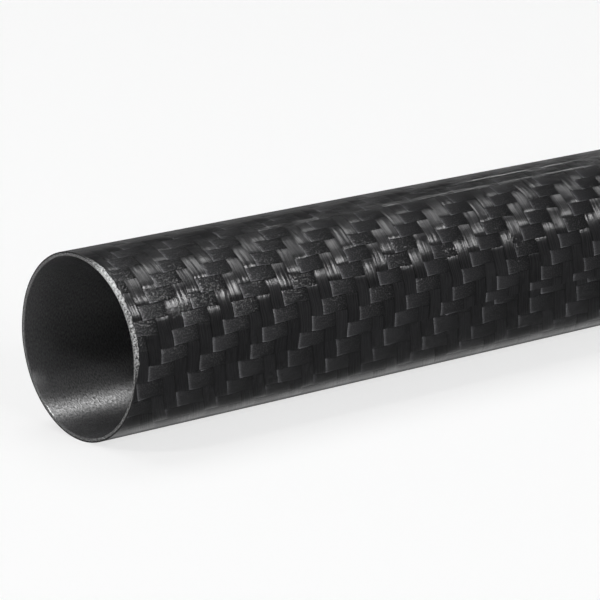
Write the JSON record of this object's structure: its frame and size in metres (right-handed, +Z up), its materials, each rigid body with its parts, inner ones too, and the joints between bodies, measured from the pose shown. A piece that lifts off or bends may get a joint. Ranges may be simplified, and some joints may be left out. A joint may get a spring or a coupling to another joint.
{
  "type": "carbon fibre tube",
  "caption": "Straight thin-walled round tube of roll-wrapped carbon fibre, with a glossy twill outside, a plain bore and square sawn ends.",
  "frame": {"origin": "under the middle of the tube's length, on the surface it lies on", "axes": "+X along the tube's axis, +Z up, +Y to the side"},
  "size_m": [0.5, 0.025, 0.025],
  "materials": {
    "carbon_laminate": "twill carbon cloth under a clear gloss coat"
  },
  "bodies": {
    "root": {"tube": "carbon_laminate"}
  },
  "joints": []
}
